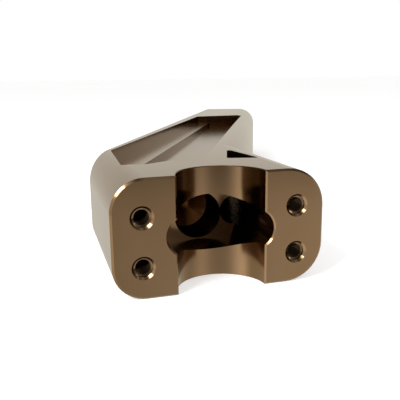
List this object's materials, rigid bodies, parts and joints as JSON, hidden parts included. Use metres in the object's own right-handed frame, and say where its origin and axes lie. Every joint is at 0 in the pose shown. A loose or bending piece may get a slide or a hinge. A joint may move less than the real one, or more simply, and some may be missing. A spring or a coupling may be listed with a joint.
{
  "type": "one-piece handlebar riser",
  "caption": "Machined riser lying on its side: a half-round bar seat with tapped ears, an oval cable pocket, and a long slanted arm with recessed windows.",
  "frame": {"origin": "middle of the bar seat: on the bar's axis, level with the clamp face and at mid thickness", "axes": "+Z along the bar's axis, through the thickness; +Y from the clamp face back along the arm; +X to the side the arm leans to"},
  "size_m": [0.1675, 0.3173, 0.0376],
  "materials": {
    "anodised_aluminium": "fine machined aluminium, anodised bronze brown, satin"
  },
  "bodies": {
    "root": {"bar_riser": "anodised_aluminium"}
  },
  "joints": []
}
